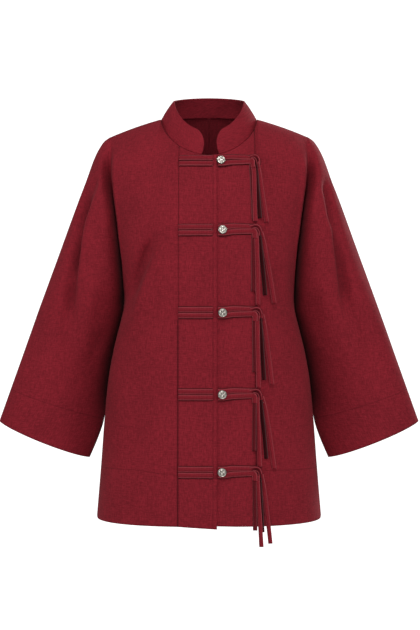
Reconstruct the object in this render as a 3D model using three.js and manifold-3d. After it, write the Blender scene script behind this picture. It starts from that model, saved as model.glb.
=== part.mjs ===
// A kimono shirt with a stand collar. Each front and each back is cut in one with half of a wide sleeve, a
// band edges each front, and five pairs of flat cloth ties cross the bands to a knot with four hanging ends.
// It is shaped as worn, with nobody in it.
// Millimetres. +Z is up, -Y is the front and +X is the wearer's left. The origin lies midway between the two
// neck points, where the shoulders hold the shirt.
import * as THREE from "three";
import { mergeVertices } from "three/addons/utils/BufferGeometryUtils.js";
import Module from "manifold-3d";

const wasm = await Module();
wasm.setup();

// ---- Driving dimensions ----
const CLOTH = 1.6; // wall of one layer
const HEM_LAYER = 0.8; // what a turned-up hem adds, on the inside
const COLLAR_CLOTH = 2.4;
const SEAM_GAP = 0.3;

const NECK = { halfWidth: 84, frontDepth: 80, frontDrop: 70, backDepth: 62, backRise: 12, bend: 0.6 };
const SHOULDER = { halfWidth: 172, z: -30, slope: 0.28, curve: 0.0007, cap: 75 };
const UNDERARM_Z = -335;
const HEM = { z: -691, depth: 88, bandDrop: 4 };
const CUFF_HEM = { depth: 64, sag: 2 };
const BAND = { rightSeamX: -51.5, edgeX: 13.3, leftSeamX: 78.5, hiddenX: -7 };
const SQUARENESS = { front: 2.5, back: 2.4 }; // exponent of the body's sections, 2 is an ellipse
const SLEEVE_ROUND = 0.7; // 1 is an elliptical sleeve, 0 a lens with sharp edges
const COLLAR = { topHalfWidth: 61.5, topFront: 68, topBack: 46, sideRise: 34, frontFall: 62, backRise: 12, bow: 1.2 };
const COLLAR_END = { right: 0.113, left: 0.176, corner: 0.25, flare: 0.035, squareTo: 0.45 }; // radians round the neck
const TIE = { width: 9.2, thickness: 1.8, apart: 9.8, lift: 0.55, step: 1.7 };
const KNOT = { x: 79, halfWidth: 9, halfDepth: 4.2, halfHeight: 8.6, wrapRadius: 6.2, wrapTube: 2.3, stub: 13 };
const BUTTON = { radius: 7.5, thickness: 3.4, rim: 1.1, dish: 0.7 };

// The body's sections from neck to hem. side: half width, to the fold beside the sleeve above the underarm and to
// the side seam below it. foldFront, foldBack: how far before and behind the arm's middle that fold lies.
// front, back: depth at the centre.
const BODY = [
  { z: -691, side: 194.5, foldFront: 0, foldBack: 0, front: 138, back: 119 },
  { z: -600, side: 187, foldFront: 0, foldBack: 0, front: 135, back: 112 },
  { z: -520, side: 181, foldFront: 0, foldBack: 0, front: 131, back: 105 },
  { z: -450, side: 174, foldFront: 0, foldBack: 0, front: 128, back: 99 },
  { z: -400, side: 165, foldFront: 0, foldBack: 0, front: 128, back: 97 },
  { z: -360, side: 155, foldFront: 0, foldBack: 0, front: 129, back: 98 },
  { z: -335, side: 149, foldFront: 0, foldBack: 0, front: 130, back: 99 },
  { z: -310, side: 147, foldFront: 16, foldBack: 16, front: 131, back: 100 },
  { z: -262, side: 149, foldFront: 33, foldBack: 32, front: 130, back: 103 },
  { z: -200, side: 156, foldFront: 43, foldBack: 42, front: 121, back: 104 },
  { z: -130, side: 165, foldFront: 46, foldBack: 46, front: 104, back: 99 },
  { z: -80, side: 171, foldFront: 44, foldBack: 44, front: 88, back: 91 },
  { z: -30, side: 172, foldFront: 28, foldBack: 29, front: 74, back: 79 },
  { z: 15, side: 172, foldFront: 20, foldBack: 20, front: 64, back: 66 },
];

// The sleeve along its length: v runs from the shoulder point to the cuff. overX, overY, overZ: the overarm seam.
// bulge: how far the cloth stands before and behind the line from the body's fold to the overarm seam.
const SLEEVE = [
  { v: 0, overX: 172, overY: 0, overZ: -30, bulge: 0 },
  { v: 0.029, overX: 183, overY: 0, overZ: -38, bulge: 6 },
  { v: 0.057, overX: 192.5, overY: 0, overZ: -52, bulge: 9 },
  { v: 0.094, overX: 201, overY: -1, overZ: -70, bulge: 12 },
  { v: 0.164, overX: 213.5, overY: -2, overZ: -105, bulge: 21 },
  { v: 0.234, overX: 227, overY: -3, overZ: -140, bulge: 31 },
  { v: 0.4, overX: 257, overY: -5, overZ: -223, bulge: 45 },
  { v: 0.583, overX: 290.5, overY: -8, overZ: -315, bulge: 55 },
  { v: 0.8, overX: 329, overY: -13, overZ: -425, bulge: 52 },
  { v: 1, overX: 364, overY: -18, overZ: -525, bulge: 47 },
];
const UNDERARM_V = 0.537;
// The underarm seam, from the body to the cuff. It passes close behind the body's side.
const UNDERARM = [
  { v: 0.537, x: 149, y: 0, z: -335 },
  { v: 0.6, x: 157.8, y: 12, z: -370 },
  { v: 0.67, x: 167.4, y: 20, z: -408 },
  { v: 0.75, x: 175.1, y: 26, z: -450 },
  { v: 0.83, x: 180.3, y: 27, z: -492 },
  { v: 0.9, x: 186.5, y: 22, z: -530 },
  { v: 0.95, x: 196, y: 14, z: -559 },
  { v: 1, x: 209, y: 5, z: -590 },
];

// The largest folds, as soft ridges (height over 0) and troughs (under 0) along straight lines, in the front view.
const FOLDS = [
  { face: "front", fromX: -78, fromZ: -200, toX: -137, toZ: -325, width: 17, height: -10 },
  { face: "front", fromX: -92, fromZ: -262, toX: -150, toZ: -395, width: 19, height: 7 },
  { face: "front", fromX: -108, fromZ: -440, toX: -138, toZ: -610, width: 18, height: -6 },
  { face: "front", fromX: 128, fromZ: -215, toX: 140, toZ: -330, width: 13, height: 5 },
  { face: "front", fromX: 118, fromZ: -290, toX: 152, toZ: -470, width: 20, height: -5 },
  { face: "front", fromX: -206, fromZ: -92, toX: -231, toZ: -205, width: 10, height: -9 },
  { face: "front", fromX: -236, fromZ: -230, toX: -246, toZ: -430, width: 15, height: -6 },
  { face: "front", fromX: 199, fromZ: -105, toX: 214, toZ: -175, width: 8, height: -5 },
  { face: "front", fromX: 213, fromZ: -190, toX: 268, toZ: -455, width: 15, height: -8 },
  { face: "back", fromX: 86, fromZ: -190, toX: 138, toZ: -330, width: 18, height: -7 },
  { face: "back", fromX: -84, fromZ: -175, toX: -140, toZ: -318, width: 18, height: -8 },
  { face: "back", fromX: -70, fromZ: -380, toX: -96, toZ: -650, width: 26, height: -6 },
  { face: "back", fromX: 62, fromZ: -420, toX: 104, toZ: -660, width: 24, height: -6 },
  { face: "back", fromX: 226, fromZ: -180, toX: 262, toZ: -430, width: 15, height: -6 },
  { face: "back", fromX: -222, fromZ: -170, toX: -258, toZ: -400, width: 15, height: -6 },
];

// The five closures. buttonX, z: the button's centre. Each hanging end: its length and how far to the side its
// tip lies from the knot; the first two hang in front, the other two behind them.
const CLOSURES = [
  { z: -81, buttonX: 20, ends: [[104, 1], [105, 13], [101, 3], [98, 6]] },
  { z: -200, buttonX: 22.5, ends: [[124, 2], [121, 21], [102, -1], [108, 11]] },
  { z: -337, buttonX: 22.5, ends: [[125, 3], [120, 18], [99, 1], [112, 9]] },
  { z: -473, buttonX: 22, ends: [[119, 4], [123, 21], [93, -1], [106, 12]] },
  { z: -601, buttonX: 21.5, ends: [[123, 7], [118, 15], [96, 1], [99, 6]] },
];
const END_NAMES = ["front_a", "front_b", "back_a", "back_b"];

const COLOURS = { cloth: 0x7a1f28, tie: 0x7f222b, metal: 0xb9b7b0 };

// ---- Small helpers ----
const mix = (a, b, t) => a + (b - a) * t;
const clamp01 = (t) => Math.min(1, Math.max(0, t));
const smooth = (t) => clamp01(t) ** 2 * (3 - 2 * clamp01(t));
const range = (n) => Array.from({ length: n + 1 }, (_, i) => i / n);

// A column's value between a table's rows, with a smooth curve through them. by is the column that orders them.
function between(table, by, at, column) {
  const last = table.length - 1;
  const i = Math.min(last - 1, Math.max(0, table.findIndex((row) => row[by] > at) - 1));
  const j = at >= table[last][by] ? last - 1 : i;
  const slope = (k) => {
    const before = table[Math.max(0, k - 1)];
    const after = table[Math.min(last, k + 1)];
    return (after[column] - before[column]) / (after[by] - before[by]);
  };
  const span = table[j + 1][by] - table[j][by];
  const t = clamp01((at - table[j][by]) / span);
  const [t2, t3] = [t * t, t * t * t];
  return (
    (2 * t3 - 3 * t2 + 1) * table[j][column] +
    (t3 - 2 * t2 + t) * span * slope(j) +
    (3 * t2 - 2 * t3) * table[j + 1][column] +
    (t3 - t2) * span * slope(j + 1)
  );
}

// ---- The cloth's surface ----
const sideX = (z) => between(BODY, "z", z, "side");

// Half a section's depth at x: rounded, and at the side as deep as the fold beside the sleeve.
function sectionDepth(face, x, z) {
  const depth = between(BODY, "z", z, face);
  const fold = z <= UNDERARM_Z ? 0 : Math.max(0, between(BODY, "z", z, face === "front" ? "foldFront" : "foldBack"));
  const power = SQUARENESS[face];
  const halfWidth = sideX(z) / (1 - (fold / depth) ** power) ** (1 / power);
  return depth * Math.max(0, 1 - (Math.abs(x) / halfWidth) ** power) ** (1 / power);
}

// The neckline and, past the neck point, the shoulder seam.
function topEdge(face, x) {
  const across = Math.abs(x) / NECK.halfWidth;
  if (across >= 1) {
    const out = Math.abs(x) - NECK.halfWidth;
    return { y: 0, z: -SHOULDER.slope * out - SHOULDER.curve * out * out };
  }
  const inward = 1 - across * across;
  return face === "front"
    ? { y: -NECK.frontDepth * Math.sqrt(inward), z: -NECK.frontDrop * inward ** NECK.bend }
    : { y: NECK.backDepth * Math.sqrt(inward), z: NECK.backRise * inward ** NECK.bend };
}

function foldHeight(face, x, z) {
  let height = 0;
  for (const fold of FOLDS) {
    if (fold.face !== face) continue;
    const [dx, dz] = [fold.toX - fold.fromX, fold.toZ - fold.fromZ];
    const along = ((x - fold.fromX) * dx + (z - fold.fromZ) * dz) / (dx * dx + dz * dz);
    const aside = ((x - fold.fromX) * dz - (z - fold.fromZ) * dx) / Math.hypot(dx, dz);
    height += fold.height * smooth(along / 0.35) * smooth((1 - along) / 0.35) * Math.exp(-((aside / fold.width) ** 2));
  }
  return height;
}

// A point of the body's cloth. top: the column's end on the neckline or shoulder seam.
function bodyPoint(face, x, z, top, ease) {
  const sign = face === "front" ? -1 : 1;
  const cap = Math.sqrt(1 - (1 - clamp01((top.z - z) / SHOULDER.cap)) ** 2);
  const y = mix(top.y, sign * sectionDepth(face, x, z), cap);
  return new THREE.Vector3(x, y + sign * ease * foldHeight(face, x, z), z);
}

const frontPoint = (x, z) => bodyPoint("front", x, z, topEdge("front", x), 1);

// The outward direction of the front at x, z.
function frontNormal(x, z) {
  const step = 2;
  const across = frontPoint(x + step, z).sub(frontPoint(x - step, z));
  const up = frontPoint(x, z + step).sub(frontPoint(x, z - step));
  return across.cross(up).normalize();
}

function sleevePoint(face, side, inner, v, t) {
  const sign = face === "front" ? -1 : 1;
  const over = new THREE.Vector3(
    side * between(SLEEVE, "v", v, "overX"),
    between(SLEEVE, "v", v, "overY"),
    between(SLEEVE, "v", v, "overZ"),
  );
  const share = mix(t, (1 - Math.cos(Math.PI * t)) / 2, SLEEVE_ROUND);
  const point = inner.clone().lerp(over, share);
  const rise = Math.sin(Math.PI * t);
  point.z -= CUFF_HEM.sag * rise * smooth((v - 0.8) / 0.2);
  point.y += sign * (between(SLEEVE, "v", v, "bulge") * rise + Math.sqrt(rise) * foldHeight(face, point.x, point.z));
  return point;
}

// ---- Sheets of cloth and the walls made from them ----
const keyOf = (p) => [p.x, p.y, p.z].map((c) => Math.round(c * 100)).join();

// A surface of triangles facing out, welded where its grids meet.
class Sheet {
  constructor(name) {
    Object.assign(this, { name, points: [], walls: [], faces: [], places: new Map() });
  }
  add(point, wall) {
    const key = keyOf(point);
    if (!this.places.has(key)) {
      this.places.set(key, this.points.length);
      this.points.push(point);
      this.walls.push(wall);
    }
    return this.places.get(key);
  }
  // rows of { point, wall }, all of one length
  grid(rows, flip) {
    const ids = rows.map((row) => row.map(({ point, wall }) => this.add(point, wall)));
    for (let i = 0; i + 1 < ids.length; i++)
      for (let j = 0; j + 1 < ids[i].length; j++) {
        const [a, b, c, d] = [ids[i][j], ids[i][j + 1], ids[i + 1][j + 1], ids[i + 1][j]];
        for (const [p, q, r] of [[a, c, b], [a, d, c]])
          if (p !== q && q !== r && r !== p) this.faces.push(flip ? [p, r, q] : [p, q, r]);
      }
  }
}

// Outward directions at the points, shared by all sheets that meet there.
function sharedNormals(sheets) {
  const normals = new Map();
  for (const { points, faces } of sheets)
    for (const [a, b, c] of faces) {
      const normal = points[b].clone().sub(points[a]).cross(points[c].clone().sub(points[a]));
      for (const id of [a, b, c]) {
        const key = keyOf(points[id]);
        normals.set(key, (normals.get(key) ?? new THREE.Vector3()).add(normal));
      }
    }
  for (const normal of normals.values()) normal.normalize();
  return normals;
}

// Outward directions that lie level, round the neck.
function levelNormals({ points }) {
  const from = (p) => new THREE.Vector3(p.x / NECK.halfWidth, p.y / NECK.backDepth, 0).normalize();
  return new Map(points.map((p) => [keyOf(p), from(p)]));
}

// The closed wall of a sheet: its edges drawn back by half a seam's gap, and its inside a wall's thickness in.
function wallOf(sheet, normals) {
  const { points, walls, faces } = sheet;
  const edges = new Map();
  for (const [a, b, c] of faces)
    for (const [p, q, r] of [[a, b, c], [b, c, a], [c, a, b]]) edges.set(`${p}-${q}`, { p, q, r });
  const rim = [...edges.values()].filter(({ p, q }) => !edges.has(`${q}-${p}`));
  const drawn = points.map(() => new THREE.Vector3());
  for (const { p, q, r } of rim) {
    const along = points[q].clone().sub(points[p]).normalize();
    const inward = points[r].clone().sub(points[p]);
    inward.addScaledVector(along, -inward.dot(along)).normalize();
    drawn[p].add(inward);
    drawn[q].add(inward);
  }
  const outer = points.map((p, i) => p.clone().addScaledVector(drawn[i].normalize(), SEAM_GAP / 2));
  const inner = outer.map((p, i) => p.clone().addScaledVector(normals.get(keyOf(points[i])), -walls[i]));
  const n = points.length;
  const index = [];
  for (const [a, b, c] of faces) index.push(a, b, c, a + n, c + n, b + n);
  for (const { p, q } of rim) index.push(q, p, p + n, q, p + n, q + n);
  const geometry = new THREE.BufferGeometry().setFromPoints([...outer, ...inner]);
  return geometry.setIndex(index);
}

// ---- Panels ----
const ROWS = { above: 12, below: 11, sleeveBelow: 9 };
// How far down each body row lies, from the top edge to the hem at the side; the last of the upper rows meets the
// underarm, and one row lies on the hem's stitching.
const underarmShare = (UNDERARM_Z - SHOULDER.z) / (HEM.z - SHOULDER.z);
const hemShare = (HEM.z + HEM.depth - SHOULDER.z) / (HEM.z - SHOULDER.z);
const bodyRows = [
  ...range(ROWS.above).map((t) => underarmShare * t ** 1.25),
  ...range(ROWS.below - 3).slice(1).map((t) => mix(underarmShare, hemShare, t)),
  ...range(3).slice(1).map((t) => mix(hemShare, 1, t)),
];
const bodyWall = (down) => (down > hemShare - 1e-6 ? CLOTH + HEM_LAYER : CLOTH);

// A half of the body's front or back, from seamX to the fold and the side seam, as rows of a grid.
function bodyGrid(face, side, seamX, neckColumns, shoulderColumns) {
  const start = Math.asin(Math.abs(seamX) / NECK.halfWidth);
  const tops = [
    ...range(neckColumns).map((t) => NECK.halfWidth * Math.sin(mix(start, Math.PI / 2, t))),
    ...range(shoulderColumns).slice(1).map((t) => mix(NECK.halfWidth, SHOULDER.halfWidth, t)),
  ];
  const last = tops.length - 1;
  return bodyRows.map((down) =>
    tops.map((topX, i) => {
      const top = topEdge(face, topX);
      const z = mix(top.z, HEM.z, down);
      const share = Math.sin((Math.PI / 2) * (i / last));
      const x = side * mix(topX, mix(Math.abs(seamX), sideX(z), share), smooth(down / 0.22));
      return { point: bodyPoint(face, x, z, top, 1 - share ** 8), wall: bodyWall(down) };
    }),
  );
}

// Half of a sleeve: its upper rows start at the body grid's last column, and the lower ones on the underarm seam.
function sleeveGrid(face, side, body, columns) {
  const upper = body.slice(0, ROWS.above + 1).map((row) => row.at(-1).point);
  const rows = upper.map((inner) => {
    const v = (UNDERARM_V * (SHOULDER.z - inner.z)) / (SHOULDER.z - UNDERARM_Z);
    return { inner, v };
  });
  const hemV = 1 - CUFF_HEM.depth / 570;
  const lower = [
    ...range(ROWS.sleeveBelow - 2).slice(1).map((t) => mix(UNDERARM_V, hemV, t)),
    ...range(2).slice(1).map((t) => mix(hemV, 1, t)),
  ];
  for (const v of lower) {
    const [x, y, z] = ["x", "y", "z"].map((column) => between(UNDERARM, "v", v, column));
    rows.push({ inner: new THREE.Vector3(side * x, y, z), v });
  }
  return rows.map(({ inner, v }) =>
    range(columns).map((t) => ({
      point: sleevePoint(face, side, inner, v, t),
      wall: v > hemV - 1e-6 ? CLOTH + HEM_LAYER : CLOTH,
    })),
  );
}

// A front or back with its half of the sleeve, in one piece as it is cut.
function panel(name, face, side, seamX, neckColumns) {
  const sheet = new Sheet(name);
  const body = bodyGrid(face, side, seamX, neckColumns, 5);
  const flip = (face === "front") === side > 0;
  sheet.grid(body, !flip);
  sheet.grid(sleeveGrid(face, side, body, 7), !flip);
  return sheet;
}

// How far the left band lies below the right one where that covers it.
const coveredBy = (x) => (CLOTH + HEM_LAYER + SEAM_GAP) * (1 - smooth((x - BAND.edgeX - 3) / 30));

// A front band, from its seam to its free edge. under: the band that the other one covers.
function band(name, seamX, edgeX, columns, under) {
  const sheet = new Sheet(name);
  const rows = bodyRows.map((down) =>
    range(columns).map((t) => {
      const x = mix(seamX, edgeX, t);
      const top = topEdge("front", x);
      const hem = HEM.z - (under ? -1 : HEM.bandDrop) * t;
      const point = bodyPoint("front", x, mix(top.z, hem, down), top, 1);
      if (under) point.y += coveredBy(x);
      return { point, wall: bodyWall(down) };
    }),
  );
  sheet.grid(rows, edgeX < seamX);
  return sheet;
}

// The collar's point at an angle round the neck (0 at the front, growing over the wearer's right shoulder) and a
// share of its height.
function collarPoint(angle, share) {
  const [s, c] = [Math.sin(angle), Math.cos(angle)];
  const round = Math.abs(c) ** (2 * NECK.bend);
  const low = new THREE.Vector3(
    -NECK.halfWidth * s,
    -c * (c > 0 ? NECK.frontDepth : NECK.backDepth),
    (c > 0 ? -NECK.frontDrop : NECK.backRise) * round,
  );
  const high = new THREE.Vector3(
    -COLLAR.topHalfWidth * s,
    -c * (c > 0 ? COLLAR.topFront : COLLAR.topBack),
    COLLAR.sideRise + (c > 0 ? -COLLAR.frontFall : COLLAR.backRise) * round,
  );
  const up = high.clone().sub(low).normalize();
  const out = new THREE.Vector3(-s, -c, 0);
  const point = low.clone().lerp(high, share).addScaledVector(up, (1 - share) * SEAM_GAP);
  if (s < 0 && c > 0) point.y += coveredBy(low.x) * (1 - share);
  return point.addScaledVector(out, COLLAR.bow * Math.sin(Math.PI * share));
}

// How far round from the centre front a collar end lies at a share of its height: flared at the seam, round above.
function collarEnd(least, share) {
  const low = Math.max(0, 1 - share / COLLAR_END.squareTo);
  const high = Math.max(0, (share - COLLAR_END.squareTo) / (1 - COLLAR_END.squareTo));
  return least + COLLAR_END.flare * low * low + COLLAR_END.corner * (1 - Math.sqrt(1 - high * high));
}

function collar() {
  const sheet = new Sheet("collar");
  const shares = [1, 0.98, 0.9, 0.75, 0.5, 0.25, 0];
  const rows = shares.map((share) => {
    const from = collarEnd(COLLAR_END.right, share);
    const to = 2 * Math.PI - collarEnd(COLLAR_END.left, share);
    return range(34).map((t) => ({ point: collarPoint(mix(from, to, t), share), wall: COLLAR_CLOTH }));
  });
  sheet.grid(rows, true);
  return sheet;
}

// ---- Ties, knots and buttons ----
// A flat ribbon through frames of { at, across, out }: both directions are unit vectors square to its run.
function ribbon(frames, width, thickness) {
  const corners = [[-1, -1], [1, -1], [1, 1], [-1, 1]];
  const points = frames.flatMap(({ at, across, out }) =>
    corners.map(([w, t]) =>
      at.clone().addScaledVector(across, (w * width) / 2).addScaledVector(out, (t * thickness) / 2),
    ),
  );
  const index = [0, 1, 2, 0, 2, 3];
  for (let i = 0; i + 1 < frames.length; i++)
    for (let k = 0; k < 4; k++) {
      const [a, b] = [4 * i + k, 4 * i + ((k + 1) % 4)];
      index.push(a, a + 4, b, b, a + 4, b + 4);
    }
  const end = 4 * (frames.length - 1);
  index.push(end, end + 2, end + 1, end, end + 3, end + 2);
  return new THREE.BufferGeometry().setFromPoints(points).setIndex(index);
}

function solidOf(geometry) {
  const bare = geometry.clone();
  bare.deleteAttribute("normal");
  bare.deleteAttribute("uv");
  const merged = mergeVertices(bare, 1e-4);
  const mesh = new wasm.Mesh({
    numProp: 3,
    vertProperties: new Float32Array(merged.attributes.position.array),
    triVerts: new Uint32Array(merged.index.array),
  });
  const made = new wasm.Manifold(mesh);
  if (made.volume() > 0) return made;
  for (let i = 0; i < mesh.triVerts.length; i += 3)
    [mesh.triVerts[i + 1], mesh.triVerts[i + 2]] = [mesh.triVerts[i + 2], mesh.triVerts[i + 1]];
  return new wasm.Manifold(mesh);
}

function geometryOf(solid) {
  const { vertProperties, triVerts } = solid.getMesh();
  const geometry = new THREE.BufferGeometry();
  geometry.setAttribute("position", new THREE.BufferAttribute(new Float32Array(vertProperties), 3));
  return geometry.setIndex(new THREE.BufferAttribute(new Uint32Array(triVerts), 1));
}

// A point this far out from the front's cloth.
const offFront = (x, z, out) => frontPoint(x, z).addScaledVector(frontNormal(x, z), out);

// One strand that hangs from the knot, between two distances down it. Its place in the list says whether it
// leaves the knot at the left or right, before or behind.
function strand(closure, place, from, to, steps) {
  const [length, sway] = closure.ends[place];
  const right = place % 2 === 1;
  const behind = place > 1;
  const topX = KNOT.x + (right ? 5.4 : -4.4) - (behind ? 1.4 : 0);
  const out = TIE.lift + TIE.thickness / 2 + (behind ? 0 : TIE.thickness + 0.9);
  const lie = (run) => {
    const t = run / length;
    const x = topX + sway * (right ? Math.sin((Math.PI / 2) * clamp01(t) ** 0.85) : t);
    const z = closure.z - run;
    return offFront(x, Math.max(z, HEM.z + 4), out).setZ(z);
  };
  const frames = range(steps).map((t) => {
    const run = mix(from, to, t);
    const at = lie(run);
    const down = lie(run + 1).sub(lie(run - 1)).normalize();
    const across = down.clone().cross(frontNormal(at.x, Math.max(at.z, HEM.z + 4))).normalize();
    return { at, across, out: across.clone().cross(down).normalize() };
  });
  return ribbon(frames, TIE.width, TIE.thickness);
}

// A strap across both bands: from the right band's seam, under the button and up a little to the knot.
function strap(closure, side) {
  const out = TIE.lift + TIE.thickness / 2;
  const frames = range(10).map((t) => {
    const x = mix(BAND.rightSeamX + 1, KNOT.x, t);
    const drawnIn = mix(1, 0.72, smooth((t - 0.6) / 0.4));
    const z = closure.z + (side * drawnIn * TIE.apart) / 2 + TIE.step * smooth((x - closure.buttonX) / 20);
    const normal = frontNormal(x, z);
    const ahead = frontPoint(x + 1, z).sub(frontPoint(x - 1, z)).normalize();
    return { at: offFront(x, z, out), across: normal.clone().cross(ahead).normalize(), out: normal };
  });
  return ribbon(frames, TIE.width, TIE.thickness);
}

// The straps, the knot in front of the left band's seam and the tops of the four strands, as one piece of cloth.
function tie(closure) {
  const parts = [strap(closure, 1), strap(closure, -1)];
  for (const place of [0, 1, 2, 3]) parts.push(strand(closure, place, 0, KNOT.stub, 2));
  const normal = frontNormal(KNOT.x, closure.z);
  const turn = new THREE.Quaternion().setFromUnitVectors(new THREE.Vector3(0, -1, 0), normal);
  const centre = offFront(KNOT.x, closure.z, TIE.lift + KNOT.halfDepth + 0.3);
  const core = new THREE.SphereGeometry(1, 14, 10).scale(KNOT.halfWidth, KNOT.halfDepth, KNOT.halfHeight);
  const wrap = new THREE.TorusGeometry(KNOT.wrapRadius, KNOT.wrapTube, 6, 16);
  wrap.rotateY(Math.PI / 2).scale(1, 0.42, 1).rotateY(-0.5);
  for (const piece of [core, wrap]) parts.push(piece.applyQuaternion(turn).translate(centre.x, centre.y, centre.z));
  return geometryOf(parts.map(solidOf).reduce((whole, piece) => whole.add(piece)));
}

function tieEnd(closure, place) {
  return strand(closure, place, KNOT.stub + SEAM_GAP, closure.ends[place][0], 10);
}

// A metal button: a shallow dish with a raised rim, over a rounded back.
function button(closure) {
  const { radius, thickness, rim, dish } = BUTTON;
  const profile = [
    [0, 0],
    [radius - 1.4, 0],
    [radius - 0.3, thickness * 0.35],
    [radius, thickness * 0.7],
    [radius - 0.4, thickness],
    [radius - rim, thickness],
    [radius - rim - 0.6, thickness - dish],
    [radius * 0.4, thickness - dish + 0.35],
    [0, thickness - dish + 0.45],
  ].map(([r, h]) => new THREE.Vector2(r, h));
  const geometry = new THREE.LatheGeometry(profile, 20);
  const normal = frontNormal(closure.buttonX, closure.z);
  geometry.applyQuaternion(new THREE.Quaternion().setFromUnitVectors(new THREE.Vector3(0, 1, 0), normal));
  const at = offFront(closure.buttonX, closure.z, TIE.lift + TIE.thickness + SEAM_GAP);
  return geometryOf(solidOf(geometry.translate(at.x, at.y, at.z)));
}

// ---- The shirt ----
const shirt = new THREE.Group();

function addNode(name, geometry, colour, roughness, metalness) {
  geometry.computeVertexNormals();
  const mesh = new THREE.Mesh(geometry, new THREE.MeshStandardMaterial({ color: colour, roughness, metalness }));
  mesh.name = name;
  shirt.add(mesh);
}
const addCloth = (name, geometry, colour = COLOURS.cloth) => addNode(name, geometry, colour, 0.85, 0);

const sheets = [
  panel("front_right", "front", -1, BAND.rightSeamX, 3),
  panel("front_left", "front", 1, BAND.leftSeamX, 2),
  panel("back_right", "back", -1, 0, 5),
  panel("back_left", "back", 1, 0, 5),
  band("band_right", BAND.rightSeamX, BAND.edgeX, 4, false),
  band("band_left", BAND.leftSeamX, BAND.hiddenX, 8, true),
];
const normals = sharedNormals(sheets);
for (const sheet of sheets) addCloth(sheet.name, wallOf(sheet, normals));
const stand = collar();
addCloth(stand.name, wallOf(stand, levelNormals(stand)));

CLOSURES.forEach((closure, i) => {
  addCloth(`tie_${i + 1}`, tie(closure), COLOURS.tie);
  END_NAMES.forEach((end, place) => addCloth(`tie_${i + 1}_end_${end}`, tieEnd(closure, place), COLOURS.tie));
  addNode(`button_${i + 1}`, button(closure), COLOURS.metal, 0.35, 1);
});

export default shirt;
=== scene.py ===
"""A kimono shirt in dark red linen and cotton, filled out as worn with nobody in it.

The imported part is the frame. Every piece of cloth is rebuilt here as a fine thin shell on the form of its
solid, and the sizes are in millimetres in the row frame: +Z up, -Y the front, +X the wearer's left.
"""

import math

import bmesh
import bpy
import numpy as np
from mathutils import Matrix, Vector


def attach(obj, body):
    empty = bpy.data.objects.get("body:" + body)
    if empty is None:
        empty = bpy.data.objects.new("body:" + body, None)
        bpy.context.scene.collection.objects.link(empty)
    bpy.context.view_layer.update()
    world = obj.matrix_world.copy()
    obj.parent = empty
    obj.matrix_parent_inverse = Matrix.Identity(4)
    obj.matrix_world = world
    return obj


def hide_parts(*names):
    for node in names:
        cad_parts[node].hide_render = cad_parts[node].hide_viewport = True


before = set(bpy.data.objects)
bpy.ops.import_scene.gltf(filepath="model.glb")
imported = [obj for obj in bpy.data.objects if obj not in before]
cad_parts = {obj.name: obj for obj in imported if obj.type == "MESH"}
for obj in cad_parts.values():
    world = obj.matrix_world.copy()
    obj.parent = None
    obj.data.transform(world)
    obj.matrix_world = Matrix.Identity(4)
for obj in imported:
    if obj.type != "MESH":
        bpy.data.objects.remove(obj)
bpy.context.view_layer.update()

MM = 0.001

# ---- Driving dimensions, in millimetres ----
CLOTH, BAND_CLOTH, COLLAR_CLOTH = 1.2, 1.6, 2.4
HEM_LAYER = 0.9  # what a hem adds to the cloth's thickness
SEAM_ALLOWANCE = 9  # pressed open inside, along the centre back seam
SEAM_GAP = 0.3
RIDGE, RIDGE_REACH = 0.8, 2.4  # how high cloth stands beside a seam that holds it down, and from how near
SLEEVE_RIDGE = 0.7
RIM_SHARE = 0.3  # what is left of the thickness at a rounded rim

NECK_HALF, NECK_FRONT, NECK_DROP, NECK_BACK, NECK_RISE, NECK_BEND = 84, 80, 70, 62, 12, 0.6
SHOULDER_HALF, SHOULDER_Z, SHOULDER_SLOPE, SHOULDER_CURVE, SHOULDER_CAP = 172, -30, 0.28, 0.0007, 75
UNDERARM_Z, HEM_Z, HEM_DEPTH = -335, -691, 88
CUFF_HEM_DEPTH, CUFF_SAG, SLEEVE_LENGTH = 64, 2, 570
RIGHT_SEAM, BAND_EDGE, LEFT_SEAM, BAND_HIDDEN = -51.5, 13.3, 78.5, -7
BAND_DROP, HIDDEN_RISE = 4, 1  # of the bands' lower corners, against the hem
BAND_STEP = BAND_CLOTH + RIDGE + SEAM_GAP  # how far the left band lies below the right one
SQUARENESS = {"front": 2.5, "back": 2.4}
SLEEVE_ROUND = 0.7
UNDERARM_V = 0.537  # where the underarm lies along the sleeve, from 0 at the shoulder to 1 at the cuff

# The sleeve's sink towards the fold beside the body, as a share of the fold's depth, at the top and the underarm.
SINK_TOP, SINK_UNDERARM = 0.6, 0.85
# Shares of shade where little light gets in: the fold at its top and its foot, the gap below the underarm,
# the sharpest creases, the grooves of the seams, and the foot of a strap that is sewn down.
FOLD_SHADE_TOP, FOLD_SHADE, GAP_SHADE, CREASE_SHADE, SEAM_SHADE, FOOT_SHADE = 0.4, 0.95, 0.95, 0.5, 0.7, 0.95
CREASE_SHADE_FROM, CREASE_SHADE_SPAN = 5, 11  # depths of the creases that have it
STITCH_REACH = 40  # the longest distance from a row of stitches that the material needs
STITCH_LENGTH, STITCH_INSET = 3.2, 1.7  # and how far in from a strap's edge they lie

COLLAR_TOP_HALF, COLLAR_TOP_FRONT, COLLAR_TOP_BACK = 61.5, 68, 46
COLLAR_SIDE_RISE, COLLAR_FRONT_FALL, COLLAR_BACK_RISE, COLLAR_BOW = 34, 62, 12, 1.2
COLLAR_RIGHT_END, COLLAR_LEFT_END = 0.113, 0.176  # radians from the middle of the front
COLLAR_CORNER, COLLAR_FLARE, COLLAR_SQUARE = 0.25, 0.035, 0.45

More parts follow.
